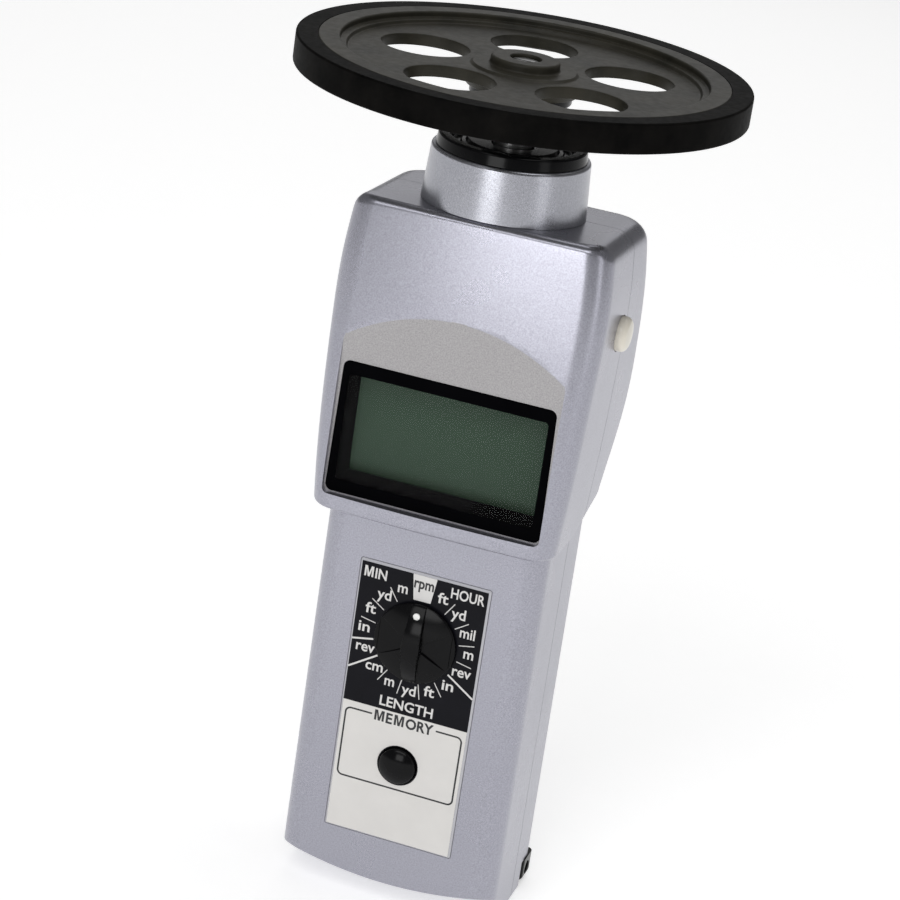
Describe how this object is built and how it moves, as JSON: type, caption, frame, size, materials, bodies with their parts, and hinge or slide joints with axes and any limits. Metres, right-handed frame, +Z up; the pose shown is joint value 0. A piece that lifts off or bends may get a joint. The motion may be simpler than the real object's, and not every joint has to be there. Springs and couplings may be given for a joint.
{
  "type": "hand-held contact tachometer with measuring wheel",
  "caption": "Hand-held speed and length meter: a five-hole measuring wheel on a ball-bearing spindle, a display head, a grip with mode knob and memory key, and a side measure button.",
  "frame": {"origin": "on the spindle axis, level with the lowest edge of the casing's foot", "axes": "+Z up along the spindle towards the wheel, the display and dial face -Y, +X to the right as seen from the front (the side with the measure button)"},
  "size_m": [0.097, 0.097, 0.196],
  "materials": {
    "silver_paint": "satin metallic silver paint over moulded ABS",
    "neck_silver": "satin silver",
    "black_gloss": "polished black moulding",
    "wheel_plastic": "dark olive grey satin moulding",
    "tyre_rubber": "smooth black rubber",
    "steel": "turned and ground steel",
    "bearing_steel": "ground and polished bearing steel",
    "ivory_plastic": "ivory white moulding",
    "label_print": "screen-printed panel overlay, black above and cream below",
    "clear_pane": "clear acrylic pane",
    "lcd_surface": "blank grey-green liquid crystal panel",
    "white_plastic": "white reflector",
    "contact_rubber": "layered contact rubber",
    "board": "green solder mask on glass-epoxy board",
    "component_black": "moulded component body",
    "housing_metal": "machined aluminium",
    "contact_metal": "nickel-plated brass",
    "cell_jacket": "printed cell jacket",
    "tray_plastic": "black battery tray",
    "felt": "oiled felt"
  },
  "bodies": {
    "casing": {"front_casing": "silver_paint", "rear_casing": "silver_paint", "neck_collar": "neck_silver", "bearing_cap": "black_gloss", "bearing_housing": "housing_metal", "dust_seal": "felt", "front_bearing_outer_ring": "bearing_steel", "front_bearing_balls": "bearing_steel", "rear_bearing_outer_ring": "bearing_steel", "rear_bearing_balls": "bearing_steel", "optical_sensor": "component_black", "sensor_board": "board", "main_board": "board", "circuit_chips": "component_black", "board_screws": "steel", "casing_screws": "steel", "lcd_bezel": "black_gloss", "lcd_window": "clear_pane", "lcd_glass": "lcd_surface", "lcd_reflector": "white_plastic", "zebra_strips": "contact_rubber", "label_plate": "label_print", "rotary_switch": "component_black", "memory_switch": "component_black", "measure_switch": "component_black", "measure_board": "board", "battery_tray": "tray_plastic", "battery_cells": "cell_jacket", "battery_springs": "steel", "battery_contacts": "contact_metal", "strap_lug": "black_gloss"},
    "wheel": {"wheel_hub": "wheel_plastic", "tyre": "tyre_rubber", "wheel_adapter": "black_gloss", "hub_screw": "steel", "spindle": "steel", "spindle_clip": "steel", "bearing_spacer": "steel", "front_bearing_inner_ring": "bearing_steel", "rear_bearing_inner_ring": "bearing_steel", "encoder_hub": "contact_metal", "encoder_disc": "steel"},
    "knob": {"mode_knob": "black_gloss", "knob_dot": "white_plastic", "switch_shaft": "steel"},
    "memory_key": {"memory_button": "black_gloss", "memory_plunger": "component_black"},
    "measure_key": {"measure_button": "ivory_plastic", "measure_plunger": "component_black"},
    "battery_cover": {"battery_door": "silver_paint"}
  },
  "joints": [
    {"name": "wheel_spin", "type": "hinge", "parent": "casing", "child": "wheel", "pos_m": [0, 0, 0.19263], "axis": [0, 0, 1], "continuous": true},
    {"name": "mode_knob_turn", "type": "hinge", "parent": "casing", "child": "knob", "pos_m": [0, -0.0193, 0.0667], "axis": [0, 1, 0], "continuous": true},
    {"name": "memory_key_press", "type": "slide", "parent": "casing", "child": "memory_key", "axis": [0, 1, 0], "range_m": [0, 0.0007], "stiffness_N_per_m": 500},
    {"name": "measure_key_press", "type": "slide", "parent": "casing", "child": "measure_key", "axis": [-1, 0, 0], "range_m": [0, 0.001], "stiffness_N_per_m": 500},
    {"name": "battery_cover_slide", "type": "slide", "parent": "casing", "child": "battery_cover", "axis": [0, 0, -1], "range_m": [0, 0.06]}
  ]
}
